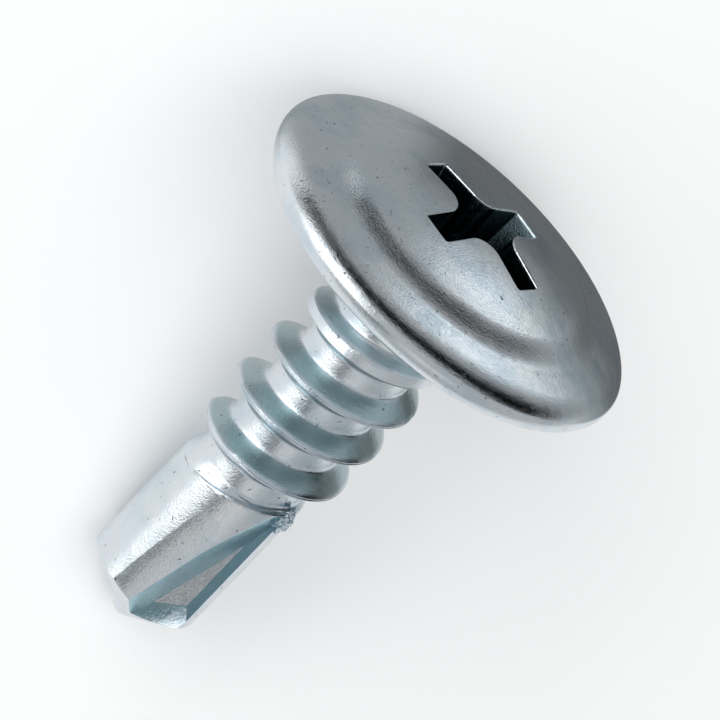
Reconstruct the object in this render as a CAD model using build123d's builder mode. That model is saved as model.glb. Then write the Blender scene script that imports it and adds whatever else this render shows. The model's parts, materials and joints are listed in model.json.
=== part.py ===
from build123d import *
import os
from math import acos, asin, atan2, cos, degrees, hypot, radians, sin, tan

# A self drilling screw, thread 4.2 mm, 13 mm under its wafer head, forged and
# rolled in one piece. It is drawn upright first: the origin is where the axis
# meets the underside of the head, +Z runs up through the head and the drill
# point is at the bottom. The last section lays it down as it comes to rest.

# Washer and dome of the head
head_diameter = 11.0
rim_under_round = 0.5
rim_top_inset = 0.75
rim_top_height = 1.04
rim_top_slope = 12.4
valley_radius = 3.85
valley_height = 1.3
dome_edge_radius = 3.5
dome_edge_height = 1.5
dome_edge_slope = 36.9
dome_height = 2.02
neck_fillet = 0.45

# Shank and rolled thread
length = 13.0
core_diameter = 2.86
thread_diameter = 4.13
pitch = 1.41
thread_angle = 60.0
crest_width = 0.1
root_overlap = 0.15
thread_start = 8.0
thread_full_from = 6.6
thread_gone_at = 7.62
neck_thread_diameter = 3.62
thread_full_to = 3.4
neck_thread_at = 1.9
thread_gone_to = 0.9
thread_end = 0.6

# Drill end, thicker than the core. It narrows to the core behind a slanted
# shoulder, and two cones set a little off the axis end it in a point.
drill_diameter = 3.3
waist_from = 8.1
waist_to = 7.5
waist_step = 0.03
waist_overlap = 0.25
shoulder_depth = 7.75
shoulder_slant = 13.3
shoulder_round = 0.08
point_angle = 101.2
point_offset = 0.2

# Flutes: a cutting face along the web, a heel face that leans over it and runs
# out at the shoulder, a raised margin outside, a hooked strip along the lip and
# a shallow flat on the land beside the heel
web_thickness = 0.84
flute_depth_offset = 0.59
heel_lean = 26.3
heel_run_out = 13.1
margin_inset = 0.41
margin_angle = 45.0
lip_strip = 0.5
lip_rake = 39.0
relief_depth = 0.18
relief_turn = 6.0
relief_run_out = 2.7
cut_clearance = 1.0

# Cross recess, size 2
recess_span = 4.15
wing_width = 0.88
recess_corner_round = 0.62
recess_floor_share = 0.8
recess_depth = 1.75
recess_cone_diameter = 1.2
recess_cone = 0.45
recess_turn = -22.4

head_radius = head_diameter / 2
core_radius = core_diameter / 2
thread_radius = thread_diameter / 2
drill_radius = drill_diameter / 2
web = web_thickness / 2
half_point = radians(point_angle / 2)
cone_depth = length + point_offset / tan(half_point)
corner_depth = cone_depth - hypot(drill_radius, point_offset) / tan(half_point)

# Head and core in one turned section, closed inside the drill end
with BuildPart() as upright:
    with BuildSketch(Plane.XZ) as section:
        with BuildLine() as outline:
            buried_depth = waist_from + waist_overlap
            waist_foot = drill_radius - waist_step
            under_neck = (core_radius, -neck_fillet)
            Polyline(
                (0, -buried_depth),
                (waist_foot, -buried_depth),
                (waist_foot, -waist_from),
                (core_radius, -waist_to),
                under_neck,
            )
            face_start = (core_radius + neck_fillet, 0)
            RadiusArc(under_neck, face_start, neck_fillet)
            rim_bottom = (head_radius - rim_under_round, 0)
            Line(face_start, rim_bottom)
            rim_side = (head_radius, rim_under_round)
            RadiusArc(rim_bottom, rim_side, -rim_under_round)
            rim_top = (head_radius - rim_top_inset, rim_top_height)
            rim_rise = (-1, tan(radians(rim_top_slope)))
            Spline(rim_side, rim_top, tangents=((0, 1), rim_rise))
            valley = (valley_radius, valley_height)
            dome_edge = (dome_edge_radius, dome_edge_height)
            dome_rise = (-1, tan(radians(dome_edge_slope)))
            Spline(rim_top, valley, dome_edge, tangents=(rim_rise, dome_rise))
            apex = (0, dome_height)
            cap_height = dome_height - dome_edge_height
            dome_radius = (dome_edge_radius**2 + cap_height**2) / (2 * cap_height)
            RadiusArc(dome_edge, apex, -dome_radius)
            Line(apex, (0, -buried_depth))
        make_face()
    revolve(axis=Axis.Z)

# One ridge of the thread, swept up a helix. It ends where a turned envelope,
# with a long cone at each end, cuts it down to the core.
thread_height = thread_radius - core_radius
flank = tan(radians(thread_angle / 2))
half_base = crest_width / 2 + (thread_height + root_overlap) * flank
with BuildPart() as thread:
    with BuildLine() as helix:
        Helix(
            pitch,
            thread_start - thread_end,
            core_radius,
            center=(0, 0, -thread_start),
        )
    with BuildSketch(Plane.XZ) as ridge:
        with BuildLine():
            Polyline(
                (core_radius - root_overlap, -thread_start - half_base),
                (thread_radius, -thread_start - crest_width / 2),
                (thread_radius, -thread_start + crest_width / 2),
                (core_radius - root_overlap, -thread_start + half_base),
                close=True,
            )
        make_face()
    sweep(path=helix.wires()[0], is_frenet=True)
    with BuildSketch(Plane.XZ) as envelope:
        with BuildLine():
            sunk_radius = core_radius - root_overlap / 2
            outer_radius = thread_radius + root_overlap
            neck_radius = neck_thread_diameter / 2
            drill_fade = thread_height / (thread_gone_at - thread_full_from)
            neck_fade = (thread_radius - neck_radius) / (thread_full_to - neck_thread_at)
            sunk_depth = thread_gone_at + (core_radius - sunk_radius) / drill_fade
            Polyline(
                (0, -sunk_depth),
                (sunk_radius, -sunk_depth),
                (outer_radius, -thread_full_from + root_overlap / drill_fade),
                (outer_radius, -thread_full_to - root_overlap / neck_fade),
                (neck_radius, -neck_thread_at),
                (sunk_radius, -thread_gone_to),
                (0, -thread_gone_to),
                close=True,
            )
        make_face()
    revolve(axis=Axis.Z, mode=Mode.INTERSECT)


def edge_angle(across, along, level):
    """Direction round the axis where a cutting plane meets the drill end's corner."""
    reach_to_plane = drill_radius * hypot(across, along)
    return atan2(along, across) + acos(level / reach_to_plane)


# The lip ends where the margin or the hooked strip meets the drill end, and the
# heel where the heel face meets the flat beside it, both at the same depth
margin_slope = tan(radians(margin_angle))
crease = drill_radius - margin_inset
margin_edge = edge_angle(1, -margin_slope, web - crease * margin_slope)
rake = radians(lip_rake)
strip_top = lip_strip / sin(half_point) - length
strip_rise = sin(rake) * sin(half_point)
strip_level = cos(rake) * web + strip_rise * (strip_top + corner_depth)
strip_edge = edge_angle(cos(rake), -sin(rake) * cos(half_point), strip_level)
lip_edge = min(margin_edge, strip_edge)
lip_corner = Vector(drill_radius * cos(lip_edge), drill_radius * sin(lip_edge))
lean = tan(radians(heel_lean))
heel_level = lean * web + flute_depth_offset
flat_radius = drill_radius - relief_depth
facing = radians(relief_turn)
crossing = cos(facing) - lean * sin(facing)
heel_corner = Vector(
    (flat_radius - heel_level * sin(facing)) / crossing,
    (heel_level * cos(facing) - lean * flat_radius) / crossing,
)

# The drill end before its flutes: a pin with a slanted shoulder, its edge
# rounded, a shallow flat beside each heel and the two cones of the point
with BuildPart() as drill_end:
    with Locations((0, 0, -length)):
        Cylinder(
            drill_radius,
            length - neck_fillet,
            align=(Align.CENTER, Align.CENTER, Align.MIN),
        )
    slant = radians(shoulder_slant)
    shoulder = Plane(origin=(0, 0, -shoulder_depth), z_dir=(0, -sin(slant), cos(slant)))
    split(bisect_by=shoulder, keep=Keep.BOTTOM)
    fillet(drill_end.edges().sort_by(Axis.Z)[-1], shoulder_round)
    run_out = radians(relief_run_out)
    for half_turn in (0, 180):
        away = radians(relief_turn + half_turn)
        flat = Plane(
            origin=(flat_radius * cos(away), flat_radius * sin(away), -corner_depth),
            z_dir=(cos(away) * cos(run_out), sin(away) * cos(run_out), -sin(run_out)),
        )
        split(bisect_by=flat, keep=Keep.BOTTOM)
    for side in (90, -90):
        across = lip_edge + radians(side)
        with Locations((point_offset * cos(across), point_offset * sin(across), -cone_depth)):
            Cone(
                0,
                cone_depth * tan(half_point),
                cone_depth,
                align=(Align.CENTER, Align.CENTER, Align.MIN),
                mode=Mode.INTERSECT,
            )

# The cutter of one flute. Its profile is drawn along the drill end, and two
# slanted planes trim it: the heel face and the strip along the lip.
reach = head_radius
with BuildPart() as flute:
    with BuildSketch(Plane.XY.offset(-length - cut_clearance)) as opening:
        with BuildLine():
            rise = reach * margin_slope
            Polyline(
                (web, -reach),
                (web, crease),
                (web + rise, crease + reach),
                (web + rise, -reach),
                close=True,
            )
        make_face()
    extrude(amount=length + cut_clearance - neck_fillet)
    heel = Plane(
        origin=(web, flute_depth_offset, -corner_depth),
        z_dir=(lean, 1, -tan(radians(heel_run_out))),
    )
    split(bisect_by=heel, keep=Keep.TOP)
    strip = Plane(
        origin=(web, 0, strip_top),
        z_dir=(cos(rake), -sin(rake) * cos(half_point), strip_rise),
    )
    split(bisect_by=strip, keep=Keep.TOP)

# The cutter of the cross recess: a cross with its inner corners rounded, drawn
# in towards the floor, and a shallow cone in the floor
cross_x = (cos(radians(recess_turn)), sin(radians(recess_turn)), 0)
mouth = Plane(origin=(0, 0, dome_height), x_dir=cross_x, z_dir=(0, 0, 1))
floor = mouth.offset(-recess_depth)
with BuildPart() as recess:
    for plane, share in ((floor, recess_floor_share), (mouth, 1)):
        with BuildSketch(plane) as cross:
            Rectangle(recess_span * share, wing_width * share)
            Rectangle(wing_width * share, recess_span * share)
            inner_corners = cross.vertices().sort_by_distance((0, 0, 0))[:4]
            fillet(inner_corners, recess_corner_round * share)
    loft()
    with Locations(floor.offset(-recess_cone / 2)):
        Cone(0, recess_cone_diameter / 2, recess_cone)

with upright:
    add(thread.part)
    add(drill_end.part)
    add(flute.part, mode=Mode.SUBTRACT)
    add(flute.part, rotation=(0, 0, 180), mode=Mode.SUBTRACT)
    add(recess.part, mode=Mode.SUBTRACT)

# It lies on the washer's edge and on the lip and the heel of the flute beneath.
# The chord between those two sets how far it is rolled, and with the washer how
# it tilts.
chord = lip_corner - heel_corner
roll = atan2(-chord.X, chord.Y)
rest_radius = lip_corner.X * cos(roll) + lip_corner.Y * sin(roll)
fall = head_radius - rim_under_round - rest_radius
run = corner_depth + rim_under_round
tilt = atan2(fall, run) + asin(rim_under_round / hypot(fall, run))
turned = Rotation(0, 90 - degrees(tilt), 0) * Rotation(0, 0, 180 - degrees(roll))
box = upright.part.moved(turned).bounding_box()
resting = Location((-box.center().X, -box.center().Y, -box.min.Z)) * turned

with BuildPart() as screw:
    with Locations(resting):
        add(upright.part)

screw.part.label = "screw"
os.makedirs("parts", exist_ok=True)
export_step(screw.part, "parts/screw.step")
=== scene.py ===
import json
from math import acos, asin, atan2, cos, hypot, pi, radians, sin, sqrt, tan
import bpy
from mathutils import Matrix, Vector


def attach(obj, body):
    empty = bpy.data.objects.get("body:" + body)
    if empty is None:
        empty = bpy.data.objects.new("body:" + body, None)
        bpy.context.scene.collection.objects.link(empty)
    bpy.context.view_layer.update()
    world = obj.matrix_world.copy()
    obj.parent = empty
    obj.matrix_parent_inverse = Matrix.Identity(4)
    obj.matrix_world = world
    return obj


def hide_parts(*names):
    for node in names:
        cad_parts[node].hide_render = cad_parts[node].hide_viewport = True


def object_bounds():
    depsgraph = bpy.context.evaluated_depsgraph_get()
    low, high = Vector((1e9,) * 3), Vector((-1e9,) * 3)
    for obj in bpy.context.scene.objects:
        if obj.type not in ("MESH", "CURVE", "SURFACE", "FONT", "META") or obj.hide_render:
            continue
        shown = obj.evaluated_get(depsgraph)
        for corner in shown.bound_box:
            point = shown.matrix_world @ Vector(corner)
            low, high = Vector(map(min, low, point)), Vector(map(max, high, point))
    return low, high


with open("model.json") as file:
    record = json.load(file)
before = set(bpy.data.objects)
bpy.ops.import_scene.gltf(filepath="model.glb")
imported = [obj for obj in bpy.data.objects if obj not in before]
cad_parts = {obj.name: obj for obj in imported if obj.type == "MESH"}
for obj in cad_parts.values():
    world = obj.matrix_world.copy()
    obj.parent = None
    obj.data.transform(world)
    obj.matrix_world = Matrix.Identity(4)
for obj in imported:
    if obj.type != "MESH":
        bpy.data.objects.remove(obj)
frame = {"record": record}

from types import SimpleNamespace

import bmesh
import bpy
from bpy.props import FloatProperty, FloatVectorProperty, PointerProperty
from mathutils import Matrix, Vector, noise
from mathutils.geometry import interpolate_bezier

bl_info = {
    "name": "Self Drilling Screw",
    "version": (1, 0, 0),
    "blender": (4, 5, 0),
    "location": "3D View > Sidebar > Screw",
    "description": "Models a short zinc plated self drilling screw and the studio round it",
    "category": "Object",
}

MM = 0.001
NODE = "screw"
FRAME_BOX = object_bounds()
MOUNTS = {mount["name"]: mount for mount in frame["record"]["mounts"]}
UNDER_HEAD = MOUNTS["under_head"]
THREAD = MOUNTS["thread"]
HEAD_DIAMETER = FRAME_BOX[1].y - FRAME_BOX[0].y


def length(name, description, default):
    """A length property, in metres."""
    return FloatProperty(
        name=name, description=description, default=default, unit="LENGTH", precision=6
    )


def angle(name, description, default):
    """An angle property, given in degrees."""
    return FloatProperty(
        name=name, description=description, default=radians(default), subtype="ANGLE"
    )


def tint(name, description, default):
    """A colour property."""
    return FloatVectorProperty(
        name=name, description=description, default=default, subtype="COLOR"
    )


class HeadSizes(bpy.types.PropertyGroup):
    diameter: length("Diameter", "Across the washer", HEAD_DIAMETER)
    rim_under_round: length("Rim round", "Round under the washer's edge", 0.0005)
    rim_top_inset: length("Rim inset", "From the edge in to the washer's top face", 0.00108)
    rim_top_height: length("Rim height", "Washer's top face at its edge", 0.001105)
    brow_inset: length("Brow inset", "From the edge in to where the rim bends down", 0.00038)
    brow_height: length("Brow height", "Height of that bend", 0.0009)
    cheek_inset: length("Cheek inset", "From the edge in to where the rim turns upright", 0.00006)
    cheek_height: length("Cheek height", "Height of that turn", 0.00066)
    valley_radius: length("Valley radius", "Ring round the foot of the dome", 0.00424)
    valley_height: length("Valley height", "Washer's top face at that ring", 0.00114)
    dome_edge_radius: length("Dome radius", "Edge of the dome", 0.0035)
    dome_edge_height: length("Dome edge", "Height of the dome's edge", 0.0015)
    dome_height: length("Dome height", "Top of the dome", 0.00202)
    edge_round: length("Edge round", "Where the dome starts to round over its edge", 0.00012)
    valley_slope: FloatProperty(name="Valley slope", description="Fall at that ring", default=0.2)
    rim_top_slope: FloatProperty(name="Rim slope", description="Fall of the washer's top", default=0.24)
    brow_slope: FloatProperty(name="Brow slope", description="Fall at the brow", default=0.5)
    cheek_slope: FloatProperty(name="Cheek slope", description="Fall at the cheek", default=1.15)


class ShankSizes(bpy.types.PropertyGroup):
    length: length("Length", "Underside of the head to the point", 0.013)
    core_radius: length("Core", "Radius between the threads", 0.00143)
    neck_fillet: length("Neck fillet", "Round between neck and head", 0.00045)
    crest_radius: length("Crest", "Radius over the thread", THREAD["dims"]["r_mm"] * MM)
    pitch: length("Pitch", "One turn of the thread", 0.00141)
    crest_width: length("Crest width", "Flat on top of the ridge", 0.0001)
    crest_groove: length("Crest groove", "Seam that rolling leaves in the crest", 0.00003)
    root_round: length("Root round", "Round at the foot of a flank", 0.00014)
    start: length("Thread start", "Depth of the ridge at its start", 0.008)
    full_from: length("Full from", "Depth where the thread is full, at the drill end", 0.0066)
    gone_at: length("Gone at", "Depth where the thread has run out", 0.00762)
    full_to: length("Full to", "Depth where the thread starts to fade at the neck", 0.0034)
    neck_at: length("Neck at", "Depth where the last turn begins to run out", 0.0019)
    neck_radius: length("Neck crest", "Radius of the crest there", 0.00181)
    gone_to: length("Gone to", "Depth where no thread is left under the head", 0.0009)
    flank: angle("Thread angle", "Between the two flanks", 60)


class DrillSizes(bpy.types.PropertyGroup):
    radius: length("Radius", "Radius of the drill end", 0.00165)
    waist_from: length("Waist from", "Depth where the drill end starts to narrow", 0.0081)
    waist_to: length("Waist to", "Depth where it has narrowed to the core", 0.0075)
    shoulder: length("Shoulder", "Depth of the slanted shoulder at the axis", 0.00775)
    shoulder_round: length("Shoulder round", "Round on the shoulder's edge", 0.00008)
    point_offset: length("Point offset", "Each end face is a cone this far off the axis", 0.0002)
    relief_depth: length("Relief", "Depth of the flat beside the heel", 0.00018)
    web: length("Web", "Thickness between the flutes", 0.00084)
    heel_offset: length("Heel offset", "How far the heel face starts off the axis", 0.00059)
    margin_inset: length("Margin inset", "Where the cutting face turns up, from the edge", 0.00041)
    lip_strip: length("Lip strip", "Width of the hooked strip along the lip", 0.0005)
    shoulder_slant: angle("Shoulder slant", "Slant of the shoulder across the screw", 13.3)
    point: angle("Point angle", "Angle of the cones that end it", 101.2)
    relief_turn: angle("Relief turn", "Direction that the flat faces, round the axis", 6)
    relief_run_out: angle("Relief run-out", "Slope of the flat along the axis", 2.7)
    heel_lean: angle("Heel lean", "How far the heel face leans over the web", 26.3)
    heel_run_out: angle("Heel run-out", "How the heel face runs out at the shoulder", 13.1)
    margin: angle("Margin", "Slope of the raised margin", 45)
    rake: angle("Rake", "Hook of the strip along the lip", 39)


class RecessSizes(bpy.types.PropertyGroup):
    span: length("Span", "Across the wings at the top", 0.00415)
    wing_width: length("Wing width", "Width of a wing at the top", 0.00088)
    corner_round: length("Corner round", "Round between two wings", 0.00062)
    depth: length("Depth", "Depth of the wings", 0.00175)
    cone: length("Cone", "Depth of the cone in the floor", 0.00045)
    cone_radius: length("Cone radius", "Radius of that cone", 0.0006)
    mouth_round: length("Mouth round", "Round on the edge of the mouth", 0.00004)
    tip_round: length("Tip round", "Round on the outer corners of a wing", 0.00007)
    floor_share: FloatProperty(name="Floor share", description="Floor to mouth", default=0.8)
    turn: angle("Turn", "Turn of the cross about the axis", -22.4)


class Placing(bpy.types.PropertyGroup):
    roll: angle("Roll", "Turn about its own axis as it lies", 25.7547)


class ZincLook(bpy.types.PropertyGroup):
    base: tint("Zinc", "Bright zinc plate", (0.67, 0.715, 0.755))
    warm: tint("Warm", "Straw tint of the clear coat", (0.75, 0.74, 0.71))
    cool: tint("Cool", "Blue tint of the clear coat", (0.53, 0.61, 0.67))
    # The coat's blue-green tint on the thread flanks, made darker as painted shade between the turns.
    coat: tint("Coat", "Blue-green where the coat is thick", (0.36, 0.47, 0.49))
    # Painted shade: the flutes' heel faces are coloured dark, in the coat's blue-green tint, for the shade
    # on them.
    heel: tint("Heel", "Blue-green of the flutes' heel faces", (0.2, 0.4, 0.46))
    # Painted shade: the recess is coloured near black, darker the deeper it goes, for the shade that falls
    # in it.
    painted_recess_shade: tint("Deep", "Dark of the recess", (0.09, 0.135, 0.15))
    soil: tint("Soil", "Dark of the pits", (0.12, 0.13, 0.14))
    roughness: FloatProperty(name="Roughness", description="Of the metal", default=0.14)


class Studio(bpy.types.PropertyGroup):
    distance: length("Camera distance", "From the lens to the screw", 0.6)
    span: length("Camera span", "Width of the view at the screw", 0.018079)
    azimuth: angle("Camera azimuth", "Round the screw, from behind the -Y side", 159.5507)
    elevation: angle("Camera elevation", "Above the floor", 65.2445)
    roll: angle("Camera roll", "Turn of the picture", 144.3798)
    target: FloatVectorProperty(
        name="Camera target",
        description="Point in the middle of the view",
        subtype="TRANSLATION",
        default=(0.0020475, 0.0004517, 0.0053391),
    )
    floor: tint("Floor", "Pale floor", (0.94, 0.94, 0.94))
    air_colour: tint("Air colour", "Tint of the room's light", (0.96, 0.99, 1.0))
    air: FloatProperty(name="Air", description="Level of the room's light", default=0.55)
    key: FloatProperty(name="Key", description="Level of the large soft light", default=2.2)
    grey: FloatProperty(name="Grey card", description="Level of the low card past the head", default=0.42)
    top: FloatProperty(name="Top", description="Power of the light over the floor", default=1.35)


GROUPS = {
    "screw_head": HeadSizes,
    "screw_shank": ShankSizes,
    "screw_drill": DrillSizes,
    "screw_recess": RecessSizes,
    "screw_placing": Placing,
    "screw_zinc": ZincLook,
    "screw_studio": Studio,
}


def in_mm(group):
    """The group's values, with its lengths in millimetres."""
    values = {}
    for prop in group.bl_rna.properties:
        if prop.identifier in ("rna_type", "name"):
            continue
        value = getattr(group, prop.identifier)
        values[prop.identifier] = value / MM if prop.unit == "LENGTH" else value
    return SimpleNamespace(**values)


# Steps of the turned surfaces and of one turn of the thread, and how close two points join, in mm
TURN_STEPS = 240
THREAD_STEPS = 96
MERGE = 1e-5

# How far bodies reach past where they join: inwards, and along the axis, in mm
SINK = 0.01
PAST = 0.3

# Edges that turn more than this stay sharp
SHARP = radians(28)

# Height of each card over the one beneath it, in metres
CARD_LIFT = 0.00005


def arc(centre, radius, start, end, count):
    """Points of an arc in the section, from one angle to another, in degrees."""
    points = []
    for i in range(count + 1):
        a = radians(start + (end - start) * i / count)
        points.append((centre[0] + radius * cos(a), centre[1] + radius * sin(a)))
    return points


def sweep_curve(start, leaving, end, arriving, count):
    """Points of a smooth curve in the section, between two points with their directions."""
    p0 = Vector((start[0], start[1], 0))
    p1 = Vector((end[0], end[1], 0))
    reach = (p1 - p0).length / 3
    h0 = p0 + Vector((leaving[0], leaving[1], 0)).normalized() * reach
    h1 = p1 - Vector((arriving[0], arriving[1], 0)).normalized() * reach
    return [(p.x, p.y) for p in interpolate_bezier(p0, h0, h1, p1, count + 1)]


def straight(start, end, count):
    """Points along a straight stretch of the section."""
    return [
        (start[0] + (end[0] - start[0]) * i / count, start[1] + (end[1] - start[1]) * i / count)
        for i in range(count + 1)
    ]


def turned(section):
    """A closed body turned about Z from a section of (radius, height) that starts and ends on the axis."""
    bm = bmesh.new()
    verts = []
    for point in section:
        if verts and (Vector((point[0], 0, point[1])) - verts[-1].co).length < MERGE:
            continue
        verts.append(bm.verts.new((point[0], 0, point[1])))
    edges = [bm.edges.new(pair) for pair in zip(verts, verts[1:])]
    bmesh.ops.spin(
        bm,
        geom=verts + edges,
        cent=(0, 0, 0),
        axis=(0, 0, 1),
        angle=2 * pi,
        steps=TURN_STEPS,
        use_merge=True,
    )
    bmesh.ops.remove_doubles(bm, verts=bm.verts, dist=MERGE)
    bmesh.ops.recalc_face_normals(bm, faces=bm.faces)
    return bm


def trim(bm, origin, normal):
    """Cuts off what lies beyond a plane, on the side that its normal points to, and closes the cut."""
    result = bmesh.ops.bisect_plane(
        bm,
        geom=bm.verts[:] + bm.edges[:] + bm.faces[:],
        dist=MERGE,
        plane_co=origin,
        plane_no=normal,
        clear_outer=True,
    )
    edges = [item for item in result["geom_cut"] if isinstance(item, bmesh.types.BMEdge)]
    bmesh.ops.edgeloop_fill(bm, edges=edges)
    return edges


def ball_radius(head):
    """Radius of the ball that the dome is a part of."""
    rise = head.dome_height - head.dome_edge_height
    return (head.dome_edge_radius**2 + rise**2) / (2 * rise)


def head_and_core(head, shank, drill):
    """The head with its valley and dome, the neck, and the core down to the drill end's waist."""
    radius = head.diameter / 2
    rim_top = (radius - head.rim_top_inset, head.rim_top_height)
    brow = (radius - head.brow_inset, head.brow_height)
    cheek = (radius - head.cheek_inset, head.cheek_height)
    valley = (head.valley_radius, head.valley_height)
    dome_radius = ball_radius(head)
    dome_centre = (0, head.dome_height - dome_radius)
    blend = head.dome_edge_radius - head.edge_round
    half_dome = asin(blend / dome_radius) * 180 / pi
    at_valley = (1, -head.valley_slope)
    at_rim_top = (1, -head.rim_top_slope)
    at_brow = (1, -head.brow_slope)
    at_cheek = (1, -head.cheek_slope)
    core = shank.core_radius - SINK
    section = arc(dome_centre, dome_radius, 90, 90 - half_dome, 44)
    leaving = (1, -tan(radians(half_dome)))
    section += sweep_curve(section[-1], leaving, valley, at_valley, 26)
    section += sweep_curve(valley, at_valley, rim_top, at_rim_top, 6)
    section += sweep_curve(rim_top, at_rim_top, brow, at_brow, 12)
    section += sweep_curve(brow, at_brow, cheek, at_cheek, 14)
    section += sweep_curve(cheek, at_cheek, (radius, head.rim_under_round), (0, -1), 10)
    under = (radius - head.rim_under_round, head.rim_under_round)
    section += arc(under, head.rim_under_round, 0, -90, 14)
    foot = core + shank.neck_fillet
    section += straight((under[0], 0), (foot, 0), 24)
    section += arc((foot, -shank.neck_fillet), shank.neck_fillet, 90, 180, 10)
    section += straight((core, -shank.neck_fillet), (core, -drill.waist_to), 40)
    waist = (drill.radius - SINK / 5, -drill.waist_from)
    end = waist[1] - PAST
    section += sweep_curve((core, -drill.waist_to), (0.05, -1), waist, (0.35, -1), 12)
    section += straight(waist, (waist[0], end), 2)
    section.append((0, end))
    return turned(section)


def envelope(shank, depth):
    """The largest radius that the thread may have at a depth under the head."""
    core = shank.core_radius
    stops = (
        (shank.gone_to, core),
        (shank.neck_at, shank.neck_radius),
        (shank.full_to, shank.crest_radius),
        (shank.full_from, shank.crest_radius),
        (shank.gone_at, core),
    )
    if depth <= stops[0][0] or depth >= stops[-1][0]:
        return core
    for (d0, r0), (d1, r1) in zip(stops, stops[1:]):
        if depth <= d1:
            return r0 + (r1 - r0) * (depth - d0) / (d1 - d0)
    return core


def threaded_sleeve(shank, drill):
    """The rolled thread: one pitch of its section, wound up the core as a screw surface."""
    half_flank = shank.flank / 2
    height = shank.crest_radius - shank.core_radius
    crest = shank.crest_width / 2
    foot = crest + height * tan(half_flank)
    bend = pi / 2 - half_flank
    tangent = shank.root_round * tan(bend / 2)
    centre_x = shank.core_radius + shank.root_round
    centre_z = foot + tangent
    half = shank.pitch / 2
    seam, ease = crest * 0.45, 0.012
    upper = [(shank.crest_radius - shank.crest_groove, 0), (shank.crest_radius, seam)]
    upper += [(shank.crest_radius, crest * 0.8), (shank.crest_radius - ease, crest + ease / 3)]
    lean = arc((centre_x, centre_z), shank.root_round, 180 + bend * 180 / pi, 180, 6)
    flank = straight(upper[-1], lean[0], 5)[1:]
    upper += flank + lean[1:]
    upper += straight(lean[-1], (shank.core_radius, half), 2)[1:]
    profile = [(x, -z) for x, z in reversed(upper[1:])] + upper
    bm = bmesh.new()
    bottom = -shank.start - 2 * shank.pitch
    verts = [bm.verts.new((x, 0, bottom + z)) for x, z in profile]
    edges = [bm.edges.new(pair) for pair in zip(verts, verts[1:])]
    bmesh.ops.spin(
        bm,
        geom=verts + edges,
        cent=(0, 0, 0),
        axis=(0, 0, 1),
        dvec=(0, 0, shank.pitch / THREAD_STEPS),
        angle=2 * pi,
        steps=THREAD_STEPS,
    )
    one_turn = bm.verts[:] + bm.edges[:] + bm.faces[:]
    turns = int((shank.start + 2) / shank.pitch) + 3
    for turn in range(1, turns):
        copy = bmesh.ops.duplicate(bm, geom=one_turn)["geom"]
        copied = [item for item in copy if isinstance(item, bmesh.types.BMVert)]
        bmesh.ops.translate(bm, verts=copied, vec=(0, 0, turn * shank.pitch))
    bmesh.ops.remove_doubles(bm, verts=bm.verts, dist=MERGE * 20)
    for vert in bm.verts:
        radius = hypot(vert.co.x, vert.co.y)
        limit = envelope(shank, -vert.co.z)
        if radius > limit:
            vert.co.xy *= limit / radius
    bmesh.ops.recalc_face_normals(bm, faces=bm.faces)
    trim(bm, (0, 0, 2 * PAST), (0, 0, 1))
    trim(bm, (0, 0, -drill.waist_from - PAST + 5 * SINK), (0, 0, -1))
    bmesh.ops.recalc_face_normals(bm, faces=bm.faces)
    return bm


def corner_depth(drill, shank):
    """Depth of the lips' outer corners, where the end cones meet the drill end."""
    reach = hypot(drill.radius, drill.point_offset) - drill.point_offset
    return shank.length - reach / tan(drill.point / 2)


def lip_direction(drill, shank):
    """Direction round the axis of a lip's outer corner, where its raised margin starts."""
    slope = tan(drill.margin)
    crease = drill.radius - drill.margin_inset
    level = drill.web / 2 - crease * slope
    margin = atan2(-slope, 1) + acos(level / (drill.radius * hypot(1, slope)))
    half = drill.point / 2
    along = -sin(drill.rake) * cos(half)
    rise = sin(drill.rake) * sin(half)
    strip_top = drill.lip_strip / sin(half) - shank.length
    level = cos(drill.rake) * drill.web / 2 + rise * (strip_top + corner_depth(drill, shank))
    strip = atan2(along, cos(drill.rake)) + acos(level / (drill.radius * hypot(cos(drill.rake), along)))
    return min(margin, strip)


def end_cone(drill, shank, side):
    """One of the two cones that end the drill, its axis a little off the screw's."""
    half = drill.point / 2
    depth = shank.length + drill.point_offset / tan(half)
    bm = bmesh.new()
    bmesh.ops.create_cone(
        bm,
        cap_ends=True,
        segments=TURN_STEPS,
        radius1=0,
        radius2=depth * tan(half),
        depth=depth,
    )
    across = lip_direction(drill, shank) + side * pi / 2
    shift = (drill.point_offset * cos(across), drill.point_offset * sin(across), -depth / 2)
    bmesh.ops.translate(bm, verts=bm.verts, vec=shift)
    return bm


def drill_blank(drill, shank):
    """The drill end before its flutes: a thick pin with a slanted shoulder and a flat beside each heel."""
    low, high = -shank.length - PAST - 10 * SINK, -drill.waist_to + 2 * PAST
    section = [(0, low)] + straight((drill.radius, low), (drill.radius, high), 60) + [(0, high)]
    bm = turned(section)
    slant = drill.shoulder_slant
    edges = trim(bm, (0, 0, -drill.shoulder), (0, -sin(slant), cos(slant)))
    bmesh.ops.bevel(
        bm,
        geom=edges,
        offset=drill.shoulder_round,
        affect="EDGES",
        segments=3,
        profile=0.5,
        material=-1,
    )
    for half_turn in (0, pi):
        faces = drill.relief_turn + half_turn
        slope = drill.relief_run_out
        normal = (cos(faces) * cos(slope), sin(faces) * cos(slope), -sin(slope))
        out = drill.radius - drill.relief_depth
        corner = -corner_depth(drill, shank)
        trim(bm, (out * cos(faces), out * sin(faces), corner), normal)
    return bm


def heel_facing(drill):
    """Direction that the heel face of the near flute looks in."""
    return Vector((tan(drill.heel_lean), 1, -tan(drill.heel_run_out))).normalized()


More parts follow.
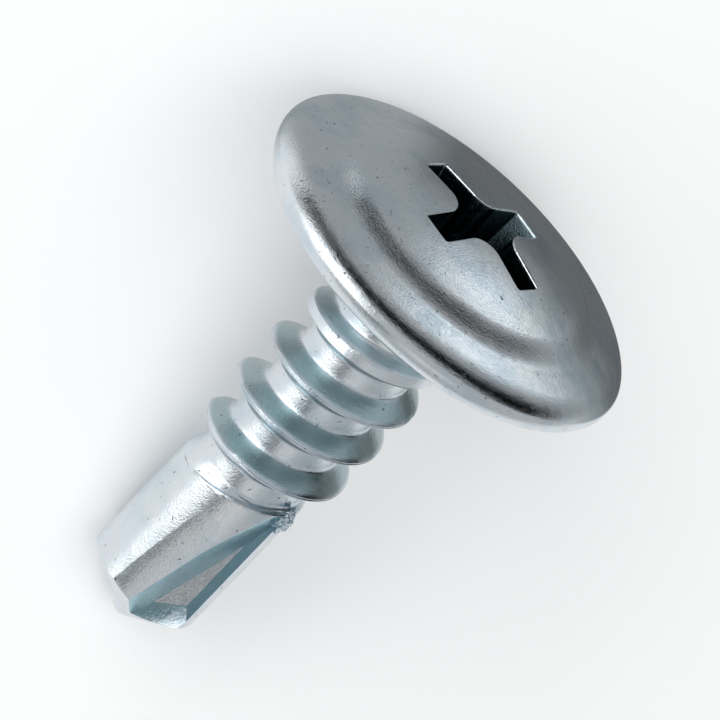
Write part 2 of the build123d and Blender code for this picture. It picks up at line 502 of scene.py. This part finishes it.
def flute(drill, shank):
    """The cutter of one flute: a cutting face along the web, a heel face that leans over it and runs
    out at the shoulder, a raised margin outside and a hooked strip along the lip."""
    web = drill.web / 2
    reach = 6.0
    crease = drill.radius - drill.margin_inset
    rise = reach * tan(drill.margin)
    below = -shank.length - 1
    bm = bmesh.new()
    corners = ((web, -reach), (web, crease), (web + rise, crease + reach), (web + rise, -reach))
    verts = [bm.verts.new((x, y, below)) for x, y in corners]
    face = bm.faces.new(verts)
    lifted = bmesh.ops.extrude_face_region(bm, geom=[face])["geom"]
    top = [item for item in lifted if isinstance(item, bmesh.types.BMVert)]
    bmesh.ops.translate(bm, verts=top, vec=(0, 0, -drill.shoulder + PAST - below))
    bmesh.ops.recalc_face_normals(bm, faces=bm.faces)
    half = drill.point / 2
    trim(bm, (web, drill.heel_offset, -corner_depth(drill, shank)), -heel_facing(drill))
    rake = drill.rake
    strip = Vector((cos(rake), -sin(rake) * cos(half), sin(rake) * sin(half)))
    trim(bm, (web, 0, drill.lip_strip / sin(half) - shank.length), -strip)
    bmesh.ops.recalc_face_normals(bm, faces=bm.faces)
    return bm


def dome_at(head, radius):
    """Height of the dome at a distance from the axis."""
    dome_radius = ball_radius(head)
    return head.dome_height - dome_radius + sqrt(dome_radius**2 - radius**2)


def cross_ring(bm, recess, share, grow):
    """A cross with its corners rounded, drawn in by a share and grown outwards, as a loop of edges."""
    wing = recess.wing_width / 2 * share + grow
    span = recess.span / 2 * share + grow
    corners = []
    for quarter in range(4):
        turn = Matrix.Rotation(recess.turn + quarter * pi / 2, 3, "Z")
        for x, y in ((span, -wing), (span, wing), (wing, wing)):
            corners.append(turn @ Vector((x, y, 0)))
    before = set(bm.verts)
    verts = [bm.verts.new(corner) for corner in corners]
    bm.faces.new(verts)
    inner = verts[2::3]
    tips = verts[0::3] + verts[1::3]
    for chosen, offset, segments in (
        (inner, recess.corner_round * share - grow, 10),
        (tips, recess.tip_round + grow, 4),
    ):
        bmesh.ops.bevel(
            bm,
            geom=chosen,
            offset=offset,
            affect="VERTICES",
            segments=segments,
            profile=0.5,
            material=-1,
        )
    return [vert for vert in bm.verts if vert not in before]


def flash(drill):
    """A lump of folded metal that forging leaves behind the shoulder, where the near flute runs out."""
    half_size = (0.34, 0.22, 0.38)
    centre = (0.42, drill.radius - 0.15, -drill.shoulder + 0.06)
    roughness = 0.3
    bm = bmesh.new()
    bmesh.ops.create_icosphere(bm, subdivisions=5, radius=1)
    for vert in bm.verts:
        wave = noise.fractal(vert.co * 1.6 + Vector((0, 0, 3)), 0.8, 2.0, 4)
        vert.co = vert.co * (1 + roughness * wave)
    bmesh.ops.scale(bm, verts=bm.verts, vec=half_size)
    bmesh.ops.translate(bm, verts=bm.verts, vec=centre)
    return bm


def recess_cutter(recess, head):
    """The cutter of the cross recess, drawn in towards its floor, with a round along its mouth."""
    bm = bmesh.new()
    edge = recess.mouth_round
    taper = (1 - recess.floor_share) / recess.depth
    # How deep each ring lies and how far it is grown: the wings, the round of the mouth, over the dome
    levels = [(recess.depth, 0), (recess.depth * 0.66, 0), (recess.depth * 0.33, 0), (edge * 2.5, 0)]
    levels += [(edge * (1 - sin(a)), edge * (1 - cos(a))) for a in (0, pi / 8, pi / 4, pi * 3 / 8)]
    levels += [(-over, edge + over) for over in (0.02, 0.5)]
    rings = []
    for depth, grow in levels:
        verts = cross_ring(bm, recess, 1 - taper * max(depth, 0), min(grow, recess.corner_round * 0.7))
        for vert in verts:
            surface = dome_at(head, hypot(vert.co.x, vert.co.y))
            blend = min(depth / recess.depth, 1) if depth > edge else 0
            vert.co.z = surface * (1 - blend) + head.dome_height * blend - depth
        rings.append(set(verts))
    inner_faces = [face for face in bm.faces if not set(face.verts) <= rings[0] | rings[-1]]
    bmesh.ops.delete(bm, geom=inner_faces, context="FACES_ONLY")
    for low, high in zip(rings, rings[1:]):
        edges = [e for e in bm.edges if set(e.verts) <= low or set(e.verts) <= high]
        bmesh.ops.bridge_loops(bm, edges=edges)
    bmesh.ops.recalc_face_normals(bm, faces=bm.faces)
    return bm


def floor_cone(recess, head):
    """The shallow cone under the recess floor."""
    bm = bmesh.new()
    bmesh.ops.create_cone(
        bm, cap_ends=True, segments=48, radius1=0, radius2=recess.cone_radius, depth=recess.cone
    )
    centre = head.dome_height - recess.depth - recess.cone / 2 + SINK / 10
    bmesh.ops.translate(bm, verts=bm.verts, vec=(0, 0, centre))
    return bm


def as_object(bm, name):
    """A new object in the scene that holds the mesh."""
    mesh = bpy.data.meshes.new(name)
    bm.to_mesh(mesh)
    bm.free()
    piece = bpy.data.objects.new(name, mesh)
    bpy.context.scene.collection.objects.link(piece)
    return piece


def combine(work, tool_mesh, operation):
    """Joins a closed mesh to the work, or cuts it out of the work."""
    tool = as_object(tool_mesh, "tool")
    modifier = work.modifiers.new("combine", "BOOLEAN")
    modifier.operation = operation
    modifier.solver = "MANIFOLD"
    modifier.object = tool
    depsgraph = bpy.context.evaluated_depsgraph_get()
    mesh = bpy.data.meshes.new_from_object(work.evaluated_get(depsgraph))
    if not mesh.polygons:
        raise RuntimeError(f"{operation} left nothing")
    work.modifiers.clear()
    old = work.data
    work.data = mesh
    bpy.data.meshes.remove(old)
    tool_data = tool.data
    bpy.data.objects.remove(tool)
    bpy.data.meshes.remove(tool_data)


def fade(value, start, width):
    """Rises from 0 to 1 as the value goes from the start over the width."""
    return min(max((value - start) / width, 0), 1)


def mark(piece, head, shank, drill, recess):
    """Marks where shade is painted into the colour: the recess, darker the deeper it goes, and the heel
    faces of the flutes; and the thread flanks, whose blue-green coat is painted darker as shade between the
    turns.
    """
    painted_recess_shade = piece.data.attributes.new("recess", "FLOAT", "POINT")
    coat = piece.data.attributes.new("coat", "FLOAT", "POINT")
    for i, vert in enumerate(piece.data.vertices):
        x, y, z = vert.co
        radius = hypot(x, y)
        # Painted shade in the recess and its floor: the colour darkens with depth under the dome.
        in_mouth = z > 0.1 and radius < recess.span / 2 + 0.1
        in_floor = z > -0.3 and radius < shank.core_radius - 0.2
        if in_mouth or in_floor:
            painted_recess_shade.data[i].value = fade(dome_at(head, radius) - z, 0.02, 0.05)
        # Thread flanks between root and crest: the coat's blue-green tint, with painted shade between the
        # turns.
        elif -shank.gone_at < z < -shank.gone_to:
            over_root = fade(radius - shank.core_radius, 0.02, 0.1)
            under_crest = fade(envelope(shank, -z) - radius, 0.02, 0.06)
            coat.data[i].value = over_root * under_crest
    # Painted shade on the heel faces: faces that look the heel's way, either flute, are marked to be
    # coloured dark.
    heel = piece.data.attributes.new("heel", "FLOAT", "FACE")
    facing = heel_facing(drill)
    turned_facing = Vector((-facing.x, -facing.y, facing.z))
    same_way = 0.998
    for i, face in enumerate(piece.data.polygons):
        inside = face.center.z < -shank.gone_to and hypot(*face.center.xy) < drill.radius
        along = max(abs(face.normal.dot(facing)), abs(face.normal.dot(turned_facing)))
        heel.data[i].value = 1 if inside and along > same_way else 0


def lying(roll):
    """Turns the screw from its drawing place, point down, to where it lies, in metres."""
    axis = -Vector(UNDER_HEAD["axis"])
    tilt = atan2(axis.z, axis.x)
    origin = Vector((UNDER_HEAD["pos_m"][0], 0, UNDER_HEAD["pos_m"][2]))
    turn = Matrix.Rotation(pi / 2 - tilt, 4, "Y") @ Matrix.Rotation(pi - roll, 4, "Z")
    return Matrix.Translation(origin) @ turn @ Matrix.Scale(MM, 4)


def zinc_plate(look):
    """Bright zinc plate with a clear blue passivation: fine grain, small pits, faint tints, a soft wave,
    and painted shade in the recess, on the heel faces and between the thread's turns.
    """
    material = bpy.data.materials.new("zinc_plate")
    material.use_nodes = True
    nodes, links = material.node_tree.nodes, material.node_tree.links
    nodes.clear()
    place = nodes.new("ShaderNodeTexCoord")

    def cloud(scale, detail, roughness):
        """Noise with a scale per millimetre."""
        noise_node = nodes.new("ShaderNodeTexNoise")
        noise_node.inputs["Scale"].default_value = scale / MM
        noise_node.inputs["Detail"].default_value = detail
        noise_node.inputs["Roughness"].default_value = roughness
        links.new(place.outputs["Object"], noise_node.inputs["Vector"])
        return noise_node.outputs["Fac"]

    def ramp(value, low, high, start=0.0, end=1.0):
        ramp_node = nodes.new("ShaderNodeMapRange")
        ramp_node.interpolation_type = "SMOOTHSTEP"
        for name, number in (("From Min", low), ("From Max", high), ("To Min", start), ("To Max", end)):
            ramp_node.inputs[name].default_value = number
        links.new(value, ramp_node.inputs["Value"])
        return ramp_node.outputs["Result"]

    def blend(factor, first, second):
        mix = nodes.new("ShaderNodeMix")
        mix.data_type = "RGBA"
        links.new(factor, mix.inputs["Factor"])
        for socket, value in (("A", first), ("B", second)):
            target = next(s for s in mix.inputs if s.name == socket and s.type == "RGBA")
            if isinstance(value, bpy.types.NodeSocket):
                links.new(value, target)
            else:
                target.default_value = (*value, 1)
        return next(s for s in mix.outputs if s.type == "RGBA")

    def bump(height, distance, under=None):
        """Raises the surface by a distance in millimetres."""
        bump_node = nodes.new("ShaderNodeBump")
        bump_node.inputs["Distance"].default_value = distance * MM
        bump_node.inputs["Strength"].default_value = 1.0
        links.new(height, bump_node.inputs["Height"])
        if under is not None:
            links.new(under, bump_node.inputs["Normal"])
        return bump_node.outputs["Normal"]

    def part_of(name, amount):
        attribute = nodes.new("ShaderNodeAttribute")
        attribute.attribute_name = name
        return ramp(attribute.outputs["Fac"], 0, 1, 0, amount)

    coolness = ramp(cloud(0.7, 3, 0.6), 0.4, 0.7)
    warmth = ramp(cloud(0.9, 3, 0.55), 0.48, 0.72, 0, 0.4)
    colour = blend(coolness, look.base, look.cool)
    colour = blend(warmth, colour, look.warm)
    # Blue-green coat on the thread flanks, darkened as painted shade between the turns.
    colour = blend(part_of("coat", 0.85), colour, look.coat)
    # Painted shade on the heel faces, in a blue-green tint.
    colour = blend(part_of("heel", 0.8), colour, look.heel)
    # Painted shade in the recess, darker with depth.
    colour = blend(part_of("recess", 0.97), colour, look.painted_recess_shade)
    pits = ramp(cloud(9, 2, 0.5), 0.69, 0.74)
    colour = blend(pits, colour, look.soil)
    normal = bump(cloud(1.1, 2, 0.5), 0.015)
    normal = bump(cloud(14, 2, 0.6), 0.0055, normal)
    normal = bump(cloud(27, 2, 0.6), 0.006, normal)
    normal = bump(pits, -0.004, normal)
    shader = nodes.new("ShaderNodeBsdfPrincipled")
    shader.inputs["Metallic"].default_value = 1.0
    shader.inputs["Roughness"].default_value = look.roughness
    links.new(colour, shader.inputs["Base Color"])
    links.new(normal, shader.inputs["Normal"])
    out = nodes.new("ShaderNodeOutputMaterial")
    links.new(shader.outputs["BSDF"], out.inputs["Surface"])
    return material


class SCREW_OT_model(bpy.types.Operator):
    """Model the screw in one piece and lay it where it rests"""

    bl_idname = "screw.model"
    bl_label = "Screw"

    def execute(self, context):
        scene = context.scene
        head, shank = in_mm(scene.screw_head), in_mm(scene.screw_shank)
        drill, recess = in_mm(scene.screw_drill), in_mm(scene.screw_recess)
        drill_end = as_object(drill_blank(drill, shank), "drill_end")
        for side in (1, -1):
            combine(drill_end, end_cone(drill, shank, side), "INTERSECT")
        piece = as_object(head_and_core(head, shank, drill), "zinc_screw")
        combine(piece, threaded_sleeve(shank, drill), "UNION")
        end_mesh = bmesh.new()
        end_mesh.from_mesh(drill_end.data)
        bpy.data.objects.remove(drill_end)
        combine(piece, end_mesh, "UNION")
        combine(piece, flute(drill, shank), "DIFFERENCE")
        other = flute(drill, shank)
        bmesh.ops.rotate(other, verts=other.verts, cent=(0, 0, 0), matrix=Matrix.Rotation(pi, 3, "Z"))
        combine(piece, other, "DIFFERENCE")
        combine(piece, flash(drill), "UNION")
        combine(piece, recess_cutter(recess, head), "DIFFERENCE")
        combine(piece, floor_cone(recess, head), "DIFFERENCE")
        mark(piece, head, shank, drill, recess)
        piece.data.transform(lying(scene.screw_placing.roll))
        piece.data.shade_smooth()
        piece.data.set_sharp_from_angle(angle=SHARP)
        piece.data.materials.clear()
        piece.data.materials.append(zinc_plate(scene.screw_zinc))
        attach(piece, "root")
        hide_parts(NODE)
        return {"FINISHED"}


def make_camera(studio):
    """The camera, far off with a long lens, turned as the picture is."""
    camera = bpy.data.cameras.new("camera")
    camera.type = "PERSP"
    camera.lens = camera.sensor_width * studio.distance / studio.span
    camera.clip_start = studio.distance / 10
    camera.clip_end = studio.distance * 10
    item = bpy.data.objects.new("camera", camera)
    bpy.context.scene.collection.objects.link(item)
    az, el = studio.azimuth, studio.elevation
    back = Vector((sin(az) * cos(el), -cos(az) * cos(el), sin(el)))
    level = back.to_track_quat("Z", "Y").to_matrix().to_4x4()
    place = Matrix.Translation(Vector(studio.target) + back * studio.distance)
    item.matrix_world = place @ level @ Matrix.Rotation(studio.roll, 4, "Z")
    bpy.context.scene.camera = item


def make_floor(studio):
    """A wide pale floor."""
    bm = bmesh.new()
    bmesh.ops.create_circle(bm, cap_ends=True, segments=96, radius=0.6)
    floor = as_object(bm, "floor")
    material = bpy.data.materials.new("floor")
    material.use_nodes = True
    shader = material.node_tree.nodes["Principled BSDF"]
    shader.inputs["Base Color"].default_value = (*studio.floor, 1)
    shader.inputs["Roughness"].default_value = 0.8
    floor.data.materials.append(material)


def make_air(studio):
    """Even light all round."""
    world = bpy.data.worlds.new("room")
    bpy.context.scene.world = world
    world.use_nodes = True
    background = world.node_tree.nodes["Background"]
    background.inputs["Color"].default_value = (*studio.air_colour, 1)
    background.inputs["Strength"].default_value = studio.air


def toward(azimuth, elevation):
    """A direction from the screw, with the azimuth from +X towards +Y, both in degrees."""
    az, el = radians(azimuth), radians(elevation)
    return Vector((cos(az) * cos(el), sin(az) * cos(el), sin(el)))


def glow(name, size, soft, level, colour):
    """A plain glow, or black where the level is 0, that fades out towards the edges of a panel."""
    material = bpy.data.materials.new(name)
    material.use_nodes = True
    nodes, links = material.node_tree.nodes, material.node_tree.links
    nodes.clear()
    place = nodes.new("ShaderNodeTexCoord")
    parts = nodes.new("ShaderNodeSeparateXYZ")
    links.new(place.outputs["Object"], parts.inputs["Vector"])
    fades = []
    for axis, extent in zip("XY", size):
        inwards = nodes.new("ShaderNodeMath")
        inwards.operation = "ABSOLUTE"
        links.new(parts.outputs[axis], inwards.inputs[0])
        fade = nodes.new("ShaderNodeMapRange")
        fade.interpolation_type = "SMOOTHSTEP"
        fade.inputs["From Min"].default_value = extent / 2
        fade.inputs["From Max"].default_value = extent / 2 * (1 - soft)
        links.new(inwards.outputs["Value"], fade.inputs["Value"])
        fades.append(fade)
    both = nodes.new("ShaderNodeMath")
    both.operation = "MULTIPLY"
    for i, fade in enumerate(fades):
        links.new(fade.outputs["Result"], both.inputs[i])
    clear = nodes.new("ShaderNodeBsdfTransparent")
    emission = nodes.new("ShaderNodeEmission")
    emission.inputs["Color"].default_value = (*colour, 1)
    emission.inputs["Strength"].default_value = level
    mix = nodes.new("ShaderNodeMixShader")
    links.new(both.outputs["Value"], mix.inputs["Fac"])
    links.new(clear.outputs["BSDF"], mix.inputs[1])
    links.new(emission.outputs["Emission"], mix.inputs[2])
    out = nodes.new("ShaderNodeOutputMaterial")
    links.new(mix.outputs["Shader"], out.inputs["Surface"])
    return material


def panel(name, centre, facing, size, soft, level, colour=(1, 1, 1), lights=False):
    """A flat panel in the room: a light, or a card that only the metal sees."""
    bm = bmesh.new()
    bmesh.ops.create_grid(bm, x_segments=1, y_segments=1, size=0.5)
    bmesh.ops.scale(bm, verts=bm.verts, vec=(*size, 1))
    item = as_object(bm, name)
    level_turn = Vector(facing).to_track_quat("Z", "Y").to_matrix().to_4x4()
    item.matrix_world = Matrix.Translation(centre) @ level_turn
    item.data.materials.append(glow(name, size, soft, level, colour))
    item.visible_camera = False
    item.visible_shadow = False
    item.visible_diffuse = lights


def board(name, azimuth, elevation, width, height, soft, level, lights=False, distance=0.3):
    """A panel that faces the screw from afar. Its width and height are angles, in degrees."""
    away = toward(azimuth, elevation)
    size = (2 * distance * tan(radians(width / 2)), 2 * distance * tan(radians(height / 2)))
    centre = away * distance + Vector((0, 0, 0.005))
    panel(name, centre, -away, size, soft, level, lights=lights)


def low_card(name, span_x, span_y, soft, level, lift):
    """A card that lies on the floor in front of the head, where only the metal sees it."""
    middle = Vector((sum(span_x) / 2, sum(span_y) / 2, lift))
    size = (span_x[1] - span_x[0], span_y[1] - span_y[0])
    card_colour = (0.93, 0.98, 1.0)
    panel(name, middle, (0, 0, 1), size, soft, level, card_colour)


def make_lights(studio):
    """The key light, the room's darker and lighter sides, and a soft light from above for the floor."""
    board("key", azimuth=80, elevation=24, width=92, height=50, soft=0.2, level=studio.key, lights=True)
    board("dark_front", azimuth=-15, elevation=16, width=102, height=60, soft=0.15, level=0)
    board(
        "grey_front", azimuth=-16, elevation=0, width=50, height=31, soft=0.35, level=0.42, distance=0.25
    )
    board("dark_strip", azimuth=148, elevation=38, width=10, height=50, soft=0.5, level=0)
    board("pale_side", azimuth=178, elevation=52, width=60, height=44, soft=0.5, level=0.75)
    for lift, (name, span_x, span_y, soft, level) in enumerate(
        (
            ("far_low", (0.036, 0.16), (-0.09, 0.0072), 0.1, 0.3),
            ("grey_low", (0.0035, 0.042), (-0.06, 0.0095), 0.12, studio.grey),
            ("dark_left", (0.0205, 0.16), (0.0072, 0.05), 0.06, 0),
            ("dark_foot", (0.004, 0.0135), (-0.018, 0.0015), 0.25, 0.17),
            ("glow_low", (0.021, 0.052), (-0.026, -0.003), 0.6, 1.9),
        ),
        start=2,
    ):
        low_card(name, span_x, span_y, soft, level, lift * CARD_LIFT)
    top = bpy.data.lights.new("top", "AREA")
    top.size = 0.5
    top.energy = studio.top
    lamp = bpy.data.objects.new("top", top)
    lamp.location = (0, 0, 0.6)
    lamp.visible_glossy = False
    lamp.visible_camera = False
    bpy.context.scene.collection.objects.link(lamp)


class SCREW_OT_stage(bpy.types.Operator):
    """Make the floor, the lights, the cards and the camera"""

    bl_idname = "screw.stage"
    bl_label = "Stage"

    def execute(self, context):
        studio = context.scene.screw_studio
        make_floor(studio)
        make_air(studio)
        make_lights(studio)
        make_camera(studio)
        context.scene.view_settings.view_transform = "Standard"
        return {"FINISHED"}


class SCREW_PT_panel(bpy.types.Panel):
    """Sizes, finish and stage of the screw"""

    bl_idname = "SCREW_PT_panel"
    bl_label = "Self Drilling Screw"
    bl_space_type = "VIEW_3D"
    bl_region_type = "UI"
    bl_category = "Screw"

    def draw(self, context):
        layout = self.layout
        for name, group in GROUPS.items():
            box = layout.box()
            box.label(text=name.replace("_", " ").capitalize())
            for prop in group.__annotations__:
                box.prop(getattr(context.scene, name), prop)
        layout.operator(SCREW_OT_model.bl_idname)
        layout.operator(SCREW_OT_stage.bl_idname)


CLASSES = (*GROUPS.values(), SCREW_OT_model, SCREW_OT_stage, SCREW_PT_panel)


def register():
    for item in CLASSES:
        bpy.utils.register_class(item)
    for name, group in GROUPS.items():
        setattr(bpy.types.Scene, name, PointerProperty(type=group))


def unregister():
    for name in GROUPS:
        delattr(bpy.types.Scene, name)
    for item in reversed(CLASSES):
        bpy.utils.unregister_class(item)


def main():
    register()
    bpy.ops.screw.model()
    bpy.ops.screw.stage()


if __name__ == "__main__":
    main()
